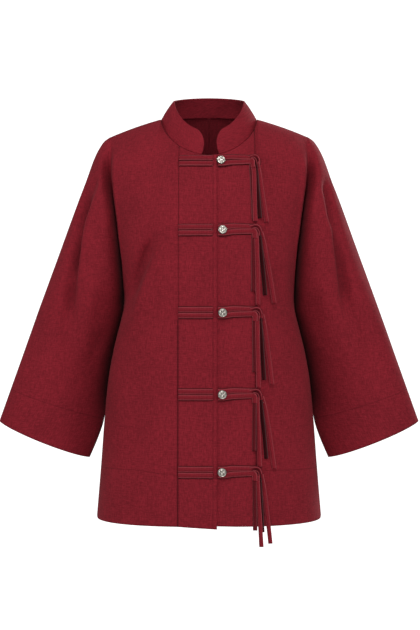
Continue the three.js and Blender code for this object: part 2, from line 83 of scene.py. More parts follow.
TIE_THICKNESS, TIE_APART, TIE_LIFT, TIE_STEP = 1.8, 9.8, 0.55, 1.7
STRAP_WIDTH, STRAP_THICKNESS, STRAP_LIFT, STRAP_LIP = 7.7, 3.0, 0.9, 2.0
STRAP_SINK = 1.3  # of a sewn end, into the cloth
STRAP_END, STRAP_START = 6.7, 15  # the straps stop short of the right band's edge and go on under the button
STRAND_WIDTH, STRAND_THICKNESS = 7.6, 2.3
STRAND_X = [-1.4, 5.2, -5.0, 2.0]  # from the knot's middle, in the order of END_NAMES
KNOT_X, KNOT_STUB, KNOT_LIP = 79, 13, 1.0
BUTTON_RADIUS, BUTTON_HEIGHT, BUTTON_RIM, BUTTON_DISH, BUTTON_EDGE = 7.5, 3.4, 0.75, 0.35, 1.5
PETALS, PETAL_HEIGHT = 4, 0.5


def table(columns, *rows):
    return {name: np.array(column, float) for name, column in zip(columns.split(), zip(*rows))}


# The body's sections, the sleeve along its length and the underarm seam.
BODY = table(
    "z side fold_front fold_back front back",
    (-691, 194.5, 0, 0, 138, 119),
    (-600, 187, 0, 0, 135, 112),
    (-520, 181, 0, 0, 131, 105),
    (-450, 174, 0, 0, 128, 99),
    (-400, 165, 0, 0, 128, 97),
    (-360, 155, 0, 0, 129, 98),
    (-335, 149, 0, 0, 130, 99),
    (-310, 147, 16, 16, 131, 100),
    (-262, 149, 33, 32, 130, 103),
    (-200, 156, 43, 42, 121, 104),
    (-130, 165, 46, 46, 104, 99),
    (-80, 171, 44, 44, 88, 91),
    (-30, 172, 28, 29, 74, 79),
    (15, 172, 20, 20, 64, 66),
)
SLEEVE = table(
    "v over_x over_y over_z bulge",
    (0, 172, 0, -30, 0),
    (0.029, 183, 0, -38, 6),
    (0.057, 192.5, 0, -52, 9),
    (0.094, 201, -1, -70, 12),
    (0.164, 213.5, -2, -105, 21),
    (0.234, 227, -3, -140, 31),
    (0.4, 257, -5, -223, 45),
    (0.583, 290.5, -8, -315, 55),
    (0.8, 329, -13, -425, 52),
    (1, 364, -18, -525, 47),
)
UNDERARM = table(
    "v x y z",
    (0.537, 149, 0, -335),
    (0.6, 157.8, 12, -370),
    (0.67, 167.4, 20, -408),
    (0.75, 175.1, 26, -450),
    (0.83, 180.3, 27, -492),
    (0.9, 186.5, 22, -530),
    (0.95, 196, 14, -559),
    (1, 209, 5, -590),
)
# The largest folds, which the solids have too.
FOLDS = table(
    "face from_x from_z to_x to_z width height",
    (-1, -78, -200, -137, -325, 17, -10),
    (-1, -92, -262, -150, -395, 19, 7),
    (-1, -108, -440, -138, -610, 18, -6),
    (-1, 128, -215, 140, -330, 13, 5),
    (-1, 118, -290, 152, -470, 20, -5),
    (-1, -206, -92, -231, -205, 10, -9),
    (-1, -236, -230, -246, -430, 15, -6),
    (-1, 199, -105, 214, -175, 8, -5),
    (-1, 213, -190, 268, -455, 15, -8),
    (1, 86, -190, 138, -330, 18, -7),
    (1, -84, -175, -140, -318, 18, -8),
    (1, -70, -380, -96, -650, 26, -6),
    (1, 62, -420, 104, -660, 24, -6),
    (1, 226, -180, 262, -430, 15, -6),
    (1, -222, -170, -258, -400, 15, -6),
)
# Finer creases, which only this fine cloth has. face -1 is the front, 1 the back.
CREASES = table(
    "face from_x from_z to_x to_z width height",
    (-1, -86, -186, -146, -334, 10, -9),
    (-1, -72, -205, -133, -368, 9, 6),
    (-1, -188, -80, -226, -196, 8, -7),
    (-1, -211, -112, -237, -285, 7, -16),
    (-1, -228, -200, -243, -370, 9, -12),
    (-1, 203, -95, 214, -200, 8, -13),
    (-1, 211, -150, 241, -360, 9, -14),
    (-1, -200, -112, -228, -320, 8, 4),
    (-1, 194, -95, 228, -330, 8, 4),
    (-1, 104, -240, 131, -340, 8, -3.4),
    (-1, 90, -180, 122, -290, 10, 2.0),
    (-1, 96, -140, 128, -250, 14, 2.0),
    (-1, -100, -120, -132, -240, 16, 1.8),
    (-1, 100, -500, 118, -640, 16, 2.0),
    (-1, -84, -500, -92, -655, 14, 1.8),
    (-1, -196, -250, -214, -420, 12, 2.6),
    (-1, 190, -260, 214, -430, 13, 2.4),
    (-1, -285, -330, -318, -500, 13, -2.4),
    (-1, 290, -330, 322, -500, 14, 2.2),
    (-1, -178, -360, -214, -440, 9, -2.4),
    (-1, 176, -352, 206, -430, 9, 2.0),
    (1, -96, -200, -150, -345, 10, -7),
    (1, -84, -215, -134, -372, 9, 4),
    (1, 102, -205, 149, -345, 9, -8),
    (1, 88, -230, 130, -380, 9, 4.5),
    (1, -208, -108, -238, -300, 8, -11),
    (1, 208, -100, 243, -350, 9, -10),
    (1, 226, -260, 252, -430, 9, -7),
    (1, -62, -420, -84, -650, 13, 4),
    (1, 76, -400, 100, -640, 12, 4.5),
    (1, -30, -60, -22, -190, 22, 2.4),
    (1, 28, -70, 34, -230, 20, -2.4),
    (1, -190, -260, -214, -440, 13, 2.4),
    (1, 194, -250, 222, -450, 13, 2.6),
    (1, -280, -330, -312, -500, 14, 2.2),
    (1, 288, -330, 320, -500, 13, -2.2),
)

# The closures: the height, the button's place across, how far aside the knot sits, how the right strand bows out,
# how far the front strand turns on edge, and each hanging end's length and how far aside its tip lies.
CLOSURES = [
    dict(z=z, button_x=button_x, aside=aside, bow=bow, twist=twist, ends=ends)
    for z, button_x, aside, bow, twist, *ends in (
        (-81, 20, -2.6, 1.1, 0.0, (104, 1), (105, 13), (101, 3), (98, 6)),
        (-200, 22.5, 0, 0.8, 0.35, (124, 2), (121, 21), (102, -1), (108, 11)),
        (-337, 22.5, 0.6, 0.75, 0.3, (125, 3), (120, 18), (99, 1), (112, 9)),
        (-473, 22, 1.2, 0.75, 0.75, (119, 4), (123, 21), (93, -1), (106, 12)),
        (-601, 21.5, 0.8, 0.8, 0.6, (123, 7), (118, 15), (96, 1), (99, 6)),
    )
]
END_NAMES = ["front_a", "front_b", "back_a", "back_b"]


# ---- Small helpers ----
def mix(a, b, t):
    return a + (b - a) * t


def smooth(t):
    t = np.clip(t, 0, 1)
    return t * t * (3 - 2 * t)


def bell(distance, reach):
    """1 at no distance, falling away softly past the reach."""
    return np.exp(-((distance / reach) ** 2))


def unit(v):
    return v / np.maximum(np.linalg.norm(v, axis=-1, keepdims=True), 1e-9)


def curve(rows, by, column, at):
    """A table's column as a smooth curve over another, as the solids are drawn."""
    xs, ys = rows[by], rows[column]
    slopes = np.empty_like(ys)
    slopes[1:-1] = (ys[2:] - ys[:-2]) / (xs[2:] - xs[:-2])
    slopes[0] = (ys[1] - ys[0]) / (xs[1] - xs[0])
    slopes[-1] = (ys[-1] - ys[-2]) / (xs[-1] - xs[-2])
    at = np.asarray(at, float)
    i = np.clip(np.searchsorted(xs, at, side="right") - 1, 0, len(xs) - 2)
    span = xs[i + 1] - xs[i]
    t = np.clip((at - xs[i]) / span, 0, 1)
    return (
        (2 * t**3 - 3 * t**2 + 1) * ys[i]
        + (t**3 - 2 * t**2 + t) * span * slopes[i]
        + (3 * t**2 - 2 * t**3) * ys[i + 1]
        + (t**3 - t**2) * span * slopes[i + 1]
    )


def soft_noise(u, v, size, seed):
    """Smooth hills and hollows from -1 to 1, about size across."""
    rng = np.random.default_rng(seed)
    lattice = rng.uniform(-1, 1, (64, 64))
    x, y = np.asarray(u) / size + 32, np.asarray(v) / size + 32
    i, j = np.floor(x).astype(int), np.floor(y).astype(int)
    fx, fy = smooth(x - i), smooth(y - j)
    cell = lambda a, b: lattice[a % 64, b % 64]
    low = mix(cell(i, j), cell(i + 1, j), fx)
    high = mix(cell(i, j + 1), cell(i + 1, j + 1), fx)
    return mix(low, high, fy)


# ---- The cloth's form ----
def side_x(z):
    return curve(BODY, "z", "side", z)


def section_depth(face, x, z):
    """How far the body's front or back stands out, drawn in towards the fold beside the sleeve."""
    depth = curve(BODY, "z", face, z)
    fold = np.where(z <= UNDERARM_Z, 0, np.maximum(0, curve(BODY, "z", "fold_" + face, z)))
    power = SQUARENESS[face]
    half = side_x(z) / (1 - (fold / depth) ** power) ** (1 / power)
    return depth * np.maximum(0, 1 - (np.abs(x) / half) ** power) ** (1 / power)


def top_edge(face, x):
    """The neckline and, past the neck point, the shoulder seam: y and z."""
    x = np.abs(np.asarray(x, float))
    inward = np.maximum(0, 1 - (x / NECK_HALF) ** 2)
    out = np.maximum(0, x - NECK_HALF)
    if face == "front":
        y, z = -NECK_FRONT * np.sqrt(inward), -NECK_DROP * inward**NECK_BEND
    else:
        y, z = NECK_BACK * np.sqrt(inward), NECK_RISE * inward**NECK_BEND
    return y, z - SHOULDER_SLOPE * out - SHOULDER_CURVE * out**2


def fold_height(folds, face, x, z):
    """The sum of a table's soft ridges and troughs at a place on the front or the back."""
    height = np.zeros(np.broadcast(x, z).shape)
    for k in np.flatnonzero(folds["face"] == (-1 if face == "front" else 1)):
        fx, fz = folds["from_x"][k], folds["from_z"][k]
        dx, dz = folds["to_x"][k] - fx, folds["to_z"][k] - fz
        along = ((x - fx) * dx + (z - fz) * dz) / (dx * dx + dz * dz)
        aside = ((x - fx) * dz - (z - fz) * dx) / math.hypot(dx, dz)
        ends = smooth(along / 0.35) * smooth((1 - along) / 0.35)
        height += folds["height"][k] * ends * bell(aside, folds["width"][k])
    return height


def body_point(face, x, z, top_y, top_z, ease):
    """Points of the front or back below a top edge. The largest folds count by the share ease."""
    sign = -1 if face == "front" else 1
    cap = np.sqrt(1 - (1 - np.clip((top_z - z) / SHOULDER_CAP, 0, 1)) ** 2)
    y = mix(top_y, sign * section_depth(face, x, z), cap)
    y = y + sign * ease * fold_height(FOLDS, face, x, z)
    x, y, z = np.broadcast_arrays(x, y, z)
    return np.stack([x, y, z], -1).astype(float)


def front_point(x, z):
    x, z = np.asarray(x, float), np.asarray(z, float)
    return body_point("front", x, z, *top_edge("front", x), 1)


def front_normal(x, z):
    step = 2
    across = front_point(x + step, z) - front_point(x - step, z)
    up = front_point(x, z + step) - front_point(x, z - step)
    return unit(np.cross(across, up))


def off_front(x, z, out):
    return front_point(x, z) + front_normal(x, z) * np.asarray(out)[..., None]


def sleeve_point(face, side, inner, v, t):
    """Points at a share t of the way out from the inner edge to the sleeve's upper edge, at v along it."""
    sign = -1 if face == "front" else 1
    over_x, over_y, over_z = (curve(SLEEVE, "v", column, v) for column in ("over_x", "over_y", "over_z"))
    over = np.stack([side * over_x, over_y, over_z], -1)
    share = mix(t, (1 - np.cos(np.pi * t)) / 2, SLEEVE_ROUND)
    point = mix(inner, over, share[..., None])
    rise = np.sin(np.pi * t)
    point[..., 2] -= CUFF_SAG * rise * smooth((v - 0.8) / 0.2)
    folds = fold_height(FOLDS, face, point[..., 0], point[..., 2])
    point[..., 1] += sign * (curve(SLEEVE, "v", "bulge", v) * rise + np.sqrt(np.maximum(rise, 0)) * folds)
    return point


# ---- Shells of cloth ----
class Shell:
    """Grids of one piece of cloth, welded where they meet, with what its material needs to know at each point."""

    def __init__(self):
        self.points, self.faces = np.zeros((0, 3)), []
        self.data = {name: np.zeros(0) for name in ("u", "v", "stitch", "run", "wall", "deep")}

    def add(self, points, **data):
        start = len(self.points)
        self.points = np.vstack([self.points, points.reshape(-1, 3)])
        for name in self.data:
            given = data.get(name, 0.0 if name == "deep" else 99.0)
            values = np.broadcast_to(given, points.shape[:-1]).reshape(-1)
            self.data[name] = np.concatenate([self.data[name], values])
        return np.arange(start, start + points[..., 0].size).reshape(points.shape[:-1])

    def skin(self, ids, flip):
        a, b, c, d = ids[:-1, :-1], ids[:-1, 1:], ids[1:, 1:], ids[1:, :-1]
        quads = np.stack([a, b, c, d] if flip else [a, d, c, b], -1).reshape(-1, 4)
        for quad in quads.tolist():
            corners = list(dict.fromkeys(quad))
            if len(corners) > 2:
                self.faces.append(corners)

    def edges(self):
        count = {}
        for face in self.faces:
            for p, q in zip(face, face[1:] + face[:1]):
                count[(p, q)] = count.get((p, q), 0) + 1
        return count

    def rim(self):
        """The points of edges that only one face has."""
        edges = self.edges()
        return list({i for p, q in edges if (q, p) not in edges for i in (p, q)})

    def quads(self):
        """The faces' corners in rows of four, where a triangle has its last one twice."""
        return np.array([face if len(face) == 4 else face + face[-1:] for face in self.faces])

    def crossed(self):
        """Each face's normal, twice its area long."""
        corners = self.points[self.quads()]
        return np.cross(corners[:, 2] - corners[:, 0], corners[:, 3] - corners[:, 1])

    def normals(self):
        total, crossed = np.zeros_like(self.points), self.crossed()
        for corner in self.quads().T:
            np.add.at(total, corner, crossed)
        return unit(total)

    def area(self):
        """The area of the cloth, in square metres."""
        return float(np.linalg.norm(self.crossed(), axis=1).sum() / 2 * MM * MM)

    def lift(self, ids, height):
        """Moves a grid's points out by a height each."""
        self.points[ids.ravel()] += self.normals()[ids.ravel()] * height.reshape(-1, 1)

    def relax(self, weight, rounds):
        """Draws each point towards the middle of its neighbours, by its weight, so that a sharp fold turns soft."""
        pairs = np.unique(np.sort(np.array(list(self.edges())), axis=1), axis=0)
        count = np.bincount(pairs.ravel(), minlength=len(self.points))[:, None]
        for _ in range(rounds):
            total = np.zeros_like(self.points)
            np.add.at(total, pairs[:, 0], self.points[pairs[:, 1]])
            np.add.at(total, pairs[:, 1], self.points[pairs[:, 0]])
            self.points += weight[:, None] * (total / np.maximum(count, 1) - self.points)

    def drop_unused(self):
        """Takes out points that no face needs, which a closed row of a grid leaves over."""
        used = np.unique(np.concatenate(self.faces))
        new = np.full(len(self.points), -1)
        new[used] = np.arange(len(used))
        self.points = self.points[used]
        self.data = {name: values[used] for name, values in self.data.items()}
        self.faces = [[int(new[i]) for i in face] for face in self.faces]

    def build(self, name, material, round_edge=None, shaded=0.0):
        """The closed shell: its outside, its inside one wall's thickness in, and its rim.

        A rounded edge draws both towards the middle of the wall, and shaded is the share of shade inside.
        """
        normals, wall = self.normals(), self.data["wall"][:, None]
        full = np.ones_like(wall) if round_edge is None else round_edge[:, None]
        outer = self.points - normals * wall * (1 - full) / 2
        inner = self.points - normals * wall * (1 + full) / 2
        n, edges = len(self.points), self.edges()
        faces = self.faces + [[i + n for i in reversed(face)] for face in self.faces]
        faces += [[q, p, p + n, q + n] for p, q in edges if (q, p) not in edges]
        data = {key: np.tile(values, 2) for key, values in self.data.items()}
        data["inside"] = np.repeat([0.0, shaded], n)
        return make_mesh(name, np.vstack([outer, inner]), faces, material, data)


def add_object(name, data, location=(0, 0, 0)):
    made = bpy.data.objects.new(name, data)
    made.location = location
    bpy.context.scene.collection.objects.link(made)
    return made


def make_mesh(name, points, faces, material, data=None):
    """A smooth-shaded Blender mesh from points in millimetres."""
    mesh = bpy.data.meshes.new(name)
    mesh.from_pydata((np.asarray(points) * MM).tolist(), [], faces)
    mesh.shade_smooth()
    if data:
        loops = np.empty(len(mesh.loops), dtype=np.int32)
        mesh.loops.foreach_get("vertex_index", loops)
        uv = mesh.uv_layers.new(name="cloth")
        uv.data.foreach_set("uv", (np.stack([data["u"], data["v"]], -1)[loops] * MM).ravel())
        for key in sorted({"stitch", "run", "inside", "edge", "deep"} & set(data)):
            attribute = mesh.attributes.new(key, "FLOAT", "POINT")
            attribute.data.foreach_set("value", data[key].astype(np.float32))
    mesh.materials.append(material)
    return add_object(name, mesh)


def place(piece, slot, *nodes):
    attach(piece, "root")
    if nodes:
        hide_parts(*nodes)
    return piece


def arc(points, axis):
    """The distance run along a grid's rows or columns."""
    steps = np.linalg.norm(np.diff(points, axis=axis), axis=-1)
    start = np.zeros_like(np.take(steps, [0], axis=axis))
    return np.concatenate([start, np.cumsum(steps, axis=axis)], axis=axis)


# ---- Materials ----
class Nodes:
    """Short ways to add shader nodes."""

    def __init__(self, name):
        self.material = bpy.data.materials.new(name)
        self.material.use_nodes = True
        self.tree = self.material.node_tree
        self.shader = self.tree.nodes["Principled BSDF"]

    def put(self, value, socket):
        if isinstance(value, bpy.types.NodeSocket):
            self.tree.links.new(value, socket)
        else:
            socket.default_value = value

    def add(self, kind, output=0, inputs=(), **settings):
        node = self.tree.nodes.new(kind)
        for key, value in settings.items():
            setattr(node, key, value)
        for key, value in dict(inputs).items():
            self.put(value, node.inputs[key])
        return node.outputs[output]

    def math(self, operation, a, b=0.0, c=0.0):
        return self.add("ShaderNodeMath", inputs={0: a, 1: b, 2: c}, operation=operation)

    def noise(self, vector, scale, detail=2.0, roughness=0.5):
        inputs = {"Vector": vector, "Scale": scale, "Detail": detail, "Roughness": roughness}
        return self.add("ShaderNodeTexNoise", 0, inputs)

    def stretch(self, vector, x, y, z=1.0):
        return self.add("ShaderNodeMapping", 0, {"Vector": vector, "Scale": (x, y, z)})

    def value(self, name):
        return self.add("ShaderNodeAttribute", 2, attribute_name=name)

    def blend(self, share, a, b):
        node = self.tree.nodes.new("ShaderNodeMix")
        node.data_type = "RGBA"
        self.put(share, node.inputs[0])
        self.put(a, node.inputs[6])
        self.put(b, node.inputs[7])
        return node.outputs[2]

    def bump(self, height, distance, strength=1.0, normal=None):
        inputs = {"Height": height, "Distance": distance, "Strength": strength}
        if normal is not None:
            inputs["Normal"] = normal
        return self.add("ShaderNodeBump", 0, inputs)


    def finish(self, inputs):
        """Fills in the shader's inputs and returns the material."""
        for key, value in inputs.items():
            self.put(value, self.shader.inputs[key])
        return self.material


def shade(rgb, by=1.0):
    return (*(c * by for c in rgb), 1.0)


CLOTH_RED = (0.213, 0.0122, 0.0212)
# A painted highlight along the straps' edges: the grey the colour turns towards, by what share, and how much
# lighter.
HIGHLIGHT_GREY, HIGHLIGHT_SHARE, HIGHLIGHT_GAIN = 0.2, 0.14, 1.5  # what the colour turns to along a strap's edges
THREADS, SLUBS, CLOUDS = (760, 120), (420, 38), (9, 9)  # cells of noise a metre, across a thread and along it
THREAD_SPREAD, SLUB_SPREAD = 4.6, 0.9  # how much each changes the tone
DARK_THREAD, LIGHT_THREAD = 0.74, 1.26


def cloth_material(name, by=1.0):
    """Plain-woven linen and cotton: slubby threads both ways, and a row of stitches where the cloth has one."""
    rgb = tuple(c * by for c in CLOTH_RED)
    n = Nodes(name)
    uv = n.add("ShaderNodeUVMap", uv_map="cloth")

    def both_ways(cells, detail, roughness):
        return [n.noise(n.stretch(uv, *way), 1.0, detail, roughness) for way in (cells, cells[::-1])]

    warp, weft = both_ways(THREADS, 3.0, 0.6)
    threads = n.math("ADD", n.math("MULTIPLY", warp, 0.5), n.math("MULTIPLY", weft, 0.5))
    slubs = n.math("ADD", *both_ways(SLUBS, 2.0, 0.5))
    cloudy = n.noise(n.stretch(uv, *CLOUDS), 1.0, 4.0, 0.6)
    tone = n.math("MULTIPLY_ADD", n.math("SUBTRACT", threads, 0.5), THREAD_SPREAD, 0.5)
    tone = n.math("ADD", tone, n.math("MULTIPLY_ADD", slubs, SLUB_SPREAD, -SLUB_SPREAD))
    tone = n.math("ADD", tone, n.math("SUBTRACT", cloudy, 0.5))
    tone = n.add("ShaderNodeClamp", inputs={"Value": tone})
    colour = n.blend(tone, shade(rgb, DARK_THREAD), shade(rgb, LIGHT_THREAD))
    normal = n.bump(n.math("ADD", threads, n.math("MULTIPLY", cloudy, 0.4)), 0.0005, 0.8)

    # The row of stitches: a dark groove with a rise for each stitch.
    away = n.math("DIVIDE", n.value("stitch"), 0.8)
    line = n.math("EXPONENT", n.math("MULTIPLY", n.math("MULTIPLY", away, away), -1.0))
    thread = n.math("ABSOLUTE", n.math("SINE", n.math("MULTIPLY", n.value("run"), math.pi / STITCH_LENGTH)))
    depth = n.math("MULTIPLY", line, n.math("MULTIPLY_ADD", thread, 0.6, -1.0))
    normal = n.bump(depth, 0.0007, 0.6, normal)
    colour = n.blend(n.math("MULTIPLY", line, 0.38), colour, shade(rgb, 0.35))

    # Painted shade inside the shell and in folds and grooves, and a painted highlight along the straps' edges, kept
    # out of that shade.
    colour = n.blend(n.math("MULTIPLY", n.value("inside"), 0.38), colour, shade(rgb, 0.1))
    colour = n.blend(n.value("deep"), colour, shade(rgb, 0.03))
    lit = n.add("ShaderNodeClamp", inputs={"Value": n.math("MULTIPLY_ADD", n.value("edge"), 3.0, -1.8)})
    lit = n.math("MULTIPLY", lit, n.math("SUBTRACT", 1.0, n.value("deep")))
    edge_highlight = tuple(mix(c, HIGHLIGHT_GREY, HIGHLIGHT_SHARE) * HIGHLIGHT_GAIN for c in rgb)
    colour = n.blend(n.math("MULTIPLY", lit, 0.65), colour, shade(edge_highlight))
    return n.finish({
        "Base Color": colour,
        "Normal": normal,
        "Roughness": 0.88,
        "Specular IOR Level": 0.12,
        "Sheen Weight": 0.03,
        "Sheen Roughness": 0.5,
        "Sheen Tint": shade((0.9, 0.45, 0.45)),
    })


def metal_material():
    """Satin silver-coloured metal, duller in places, and darkened by the deep value: dark between a button's
    petals, and painted shade and shadow elsewhere.
    """
    n = Nodes("metal")
    cloudy = n.noise(n.add("ShaderNodeTexCoord", 3), 420.0, 4.0, 0.6)
    colour = n.blend(n.value("deep"), (0.5, 0.47, 0.42, 1), (0.01, 0.009, 0.008, 1))
    return n.finish({
        "Base Color": n.blend(n.math("MULTIPLY", cloudy, 0.25), colour, (0.4, 0.37, 0.33, 1)),
        "Roughness": n.math("MULTIPLY_ADD", cloudy, 0.25, 0.24),
        "Normal": n.bump(cloudy, 0.0002, 0.5),
        "Metallic": 1.0,
    })


CLOTH_LOOK, TIE_LOOK = cloth_material("cloth"), cloth_material("tie")
# The two hanging ends behind lie in the shadow of those in front.
BACK_TIE_LOOKS = {2: cloth_material("tie_behind_a", 0.5), 3: cloth_material("tie_behind_b", 0.2)}
METAL_LOOK = metal_material()


def add_sheet(node, shell, rounding=None, shaded=0.0):
    area = shell.area()
    piece = place(shell.build(node + "_cloth", CLOTH_LOOK, rounding, shaded), "cloth", node)


# ---- Panels ----
ROWS_ABOVE, ROWS_BELOW, ROWS_HEM = 96, 70, 26  # above the underarm, from there to the hem, and on it
UPPER, LOWER = slice(ROWS_ABOVE + 1), slice(ROWS_ABOVE + 1, None)  # a sleeve's rows along the body and past it
DOWN = np.linspace(0, 1, ROWS_ABOVE + 1)[:, None]  # shares of the way down to the underarm
BODY_COLUMNS, SLEEVE_COLUMNS, SLEEVE_ROWS, CUFF_ROWS = 62, 46, 58, 18
UNDERARM_SHARE = (UNDERARM_Z - SHOULDER_Z) / (HEM_Z - SHOULDER_Z)
HEM_SHARE = (HEM_Z + HEM_DEPTH - SHOULDER_Z) / (HEM_Z - SHOULDER_Z)
BODY_ROWS = np.concatenate([
    UNDERARM_SHARE * np.linspace(0, 1, ROWS_ABOVE + 1) ** 1.25,
    np.linspace(UNDERARM_SHARE, HEM_SHARE, ROWS_BELOW + 1)[1:],
    np.linspace(HEM_SHARE, 1, ROWS_HEM + 1)[1:],
])


def seam_steps(count, first):
    """Shares from 0 to 1, with a few close steps beside the seam at 0."""
    return np.concatenate([[0], first * np.array([0.12, 0.3, 0.6]), np.linspace(first, 1, count)])


def body_grid(face, side, seam_x, neck_share):
    """Half of the front or back as rows of points, with each column's share of the way round to the side."""
    share_row = seam_steps(BODY_COLUMNS, 0.035)
    start = math.asin(abs(seam_x) / NECK_HALF)
    on_neck = NECK_HALF * np.sin(mix(start, math.pi / 2, np.minimum(1, share_row / neck_share)))
    on_shoulder = mix(NECK_HALF, SHOULDER_HALF, (share_row - neck_share) / (1 - neck_share))
    top_x = np.where(share_row < neck_share, on_neck, on_shoulder)[None, :]
    top_y, top_z = top_edge(face, top_x)
    down = BODY_ROWS[:, None]
    z = mix(top_z, HEM_Z, down)
    share = np.sin(math.pi / 2 * share_row)[None, :] + 0 * z
    x = side * mix(top_x, mix(abs(seam_x), side_x(z), share), smooth(down / 0.22))
    return body_point(face, x, z, top_y, top_z, 1 - share**8), share


def sleeve_grid(face, side, inner_upper):
    """Half of a sleeve. Its upper rows start at the body's last column and the lower ones on the underarm seam."""
    upper_v = UNDERARM_V * (SHOULDER_Z - inner_upper[:, 2]) / (SHOULDER_Z - UNDERARM_Z)
    hem_v = 1 - CUFF_HEM_DEPTH / SLEEVE_LENGTH
    lower_v = np.concatenate([
        np.linspace(UNDERARM_V, hem_v, SLEEVE_ROWS)[1:],
        np.linspace(hem_v, 1, CUFF_ROWS)[1:],
    ])
    lower = np.stack([curve(UNDERARM, "v", column, lower_v) for column in "xyz"], -1) * [side, 1, 1]
    v = np.concatenate([upper_v, lower_v])[:, None]
    inner = np.vstack([inner_upper, lower])[:, None, :]
    t = np.linspace(0, 1, SLEEVE_COLUMNS)[None, :] + 0 * v
    return sleeve_point(face, side, inner, v, t), v + 0 * t, t


def seam_ridge(distance):
    """How far cloth stands up beside a seam that holds it down."""
    return RIDGE * (1 - bell(distance, RIDGE_REACH))


def stitch_run(distance):
    return np.clip(distance, -STITCH_REACH, STITCH_REACH)


def panel(face, side, seam_x, neck_share):
    """A front or back with its half of the sleeve, cut in one."""
    shell = Shell()
    body, share = body_grid(face, side, seam_x, neck_share)
    sleeve, v, t = sleeve_grid(face, side, body[UPPER, -1])
    across, along = arc(body, 1), arc(body, 0)
    hem_run = along - along[ROWS_ABOVE + ROWS_BELOW][None, :]
    doubled = (hem_run > -0.5) | ((across < SEAM_ALLOWANCE) & (face == "back"))
    body_ids = shell.add(
        body, u=across, v=along[-1:] - along, run=across, stitch=stitch_run(hem_run),
        wall=np.where(doubled, CLOTH + HEM_LAYER, CLOTH), deep=SEAM_SHADE * bell(across, 1.3),
    )
    sleeve_across, sleeve_along = arc(sleeve, 1), arc(sleeve, 0)
    cuff_run = (v - 1) * SLEEVE_LENGTH + CUFF_HEM_DEPTH
    sleeve_data = dict(
        u=sleeve_across + across[ROWS_ABOVE // 2, -1], v=-sleeve_along, run=sleeve_across,
        stitch=stitch_run(cuff_run), wall=np.where(cuff_run > -0.5, CLOTH + HEM_LAYER, CLOTH),
    )

    def add_part(*part):
        return shell.add(sleeve[part], **{key: values[part] for key, values in sleeve_data.items()})

    rest_ids, below_ids = add_part(slice(None), slice(1, None)), add_part(LOWER, slice(1))
    sleeve_ids = np.hstack([np.vstack([body_ids[UPPER, -1:], below_ids]), rest_ids])
    sleeve_ids[0, :] = sleeve_ids[0, 0]
    for ids in (body_ids, sleeve_ids):
        shell.skin(ids, (face == "front") != (side > 0))
    soften_fold(shell, body_ids, sleeve_ids)
    tuck_fold(shell, face, body_ids, sleeve_ids, across[:, -1:] - across, sleeve_across)
    raise_details(shell, face, body_ids, sleeve_ids, across, share, t)
    shell.drop_unused()
    width = across[0, -1] + sleeve_along[-1, -1]
    return shell, (width * MM, along.max() * MM)


def soften_fold(shell, body_ids, sleeve_ids):
    """Rounds the fold between body and sleeve, more where it is shallow at the shoulder than at the underarm."""
    weight = np.zeros(len(shell.points))
    reach = mix(15, 3, smooth((DOWN - 0.1) / 0.2))
    hold = smooth(DOWN / 0.08) * smooth((1 - DOWN) / 0.05)
    for ids, step in ((body_ids, -1), (sleeve_ids, 1)):
        grid, columns = ids[UPPER], np.arange(ids.shape[1])[::step]
        weight[grid] = np.maximum(weight[grid], hold * bell(columns[None, :], reach))
    weight[shell.rim()] = 0
    shell.relax(0.9 * weight, 40)


def tuck_fold(shell, face, body_ids, sleeve_ids, body_run, sleeve_run):
    """Sinks the sleeve back towards the fold beside the body, and shades the fold and the gap below the underarm.

    The body's cloth stands full right up to the fold.
    """
    z = shell.points[body_ids[UPPER, -1], 2][:, None]
    sink = mix(SINK_TOP, SINK_UNDERARM, smooth((DOWN - 0.6) / 0.35))
    fold = curve(BODY, "z", "fold_" + face, z)
    depth = sink * fold * smooth((DOWN - 0.09) / 0.24) * smooth((1 - DOWN) / 0.03)
    deep = mix(FOLD_SHADE_TOP, FOLD_SHADE, smooth((DOWN - 0.5) / 0.45)) * smooth((DOWN - 0.12) / 0.25)
    sleeve_reach, sleeve_shade_reach = mix(16, 17, DOWN), mix(12, 28, smooth((DOWN - 0.3) / 0.6))
    back = np.zeros(len(shell.points))
    for ids, run, reach, shade_reach in (
        (body_ids, body_run, 4, 6),
        (sleeve_ids, sleeve_run, sleeve_reach, sleeve_shade_reach),
    ):
        back[ids[UPPER]] = depth * bell(run[UPPER], reach)
        shell.data["deep"][ids[UPPER]] = deep * bell(run[UPPER], shade_reach)
    onward = np.linspace(0, 1, len(sleeve_ids[LOWER]))[:, None]
    gap_shade = GAP_SHADE * smooth((0.85 - onward) / 0.3)
    shell.data["deep"][sleeve_ids[LOWER]] = gap_shade * bell(sleeve_run[LOWER], mix(28, 42, onward))
    run = body_run[UPPER]
    back[body_ids[UPPER]] -= 0.2 * depth * bell(run - 11, 8) * smooth(run / 6)
    shell.points[:, 1] += back if face == "front" else -back


